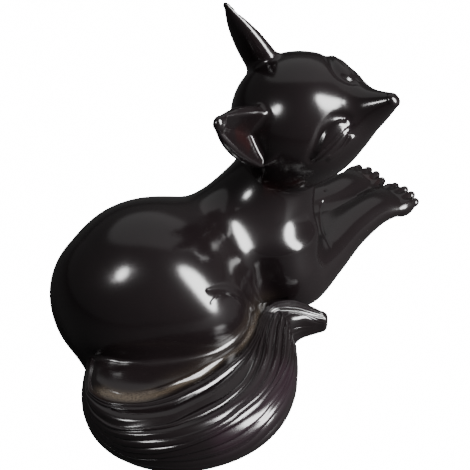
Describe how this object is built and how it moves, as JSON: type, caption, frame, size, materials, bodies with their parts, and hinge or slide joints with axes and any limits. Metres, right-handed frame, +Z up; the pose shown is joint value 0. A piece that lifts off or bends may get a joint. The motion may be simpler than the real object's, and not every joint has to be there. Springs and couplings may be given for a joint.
{
  "type": "fox tea pet",
  "caption": "Small dark glazed clay fox lying with its head raised to one side, eyes closed, tail curled along its flank; sits on a tea tray or shelf.",
  "frame": {"origin": "middle of the bounding box, on the ground the fox rests on", "axes": "+X the way the chest and forepaws point, the longest side; +Y the animal's left; +Z up"},
  "size_m": [0.1194, 0.0706, 0.0807],
  "materials": {
    "glaze": "very dark brown-black tea-polished clay, glossy, with a faint purple-red tint and golden dust in its hollows"
  },
  "bodies": {
    "root": {"fox": "glaze"}
  },
  "joints": []
}
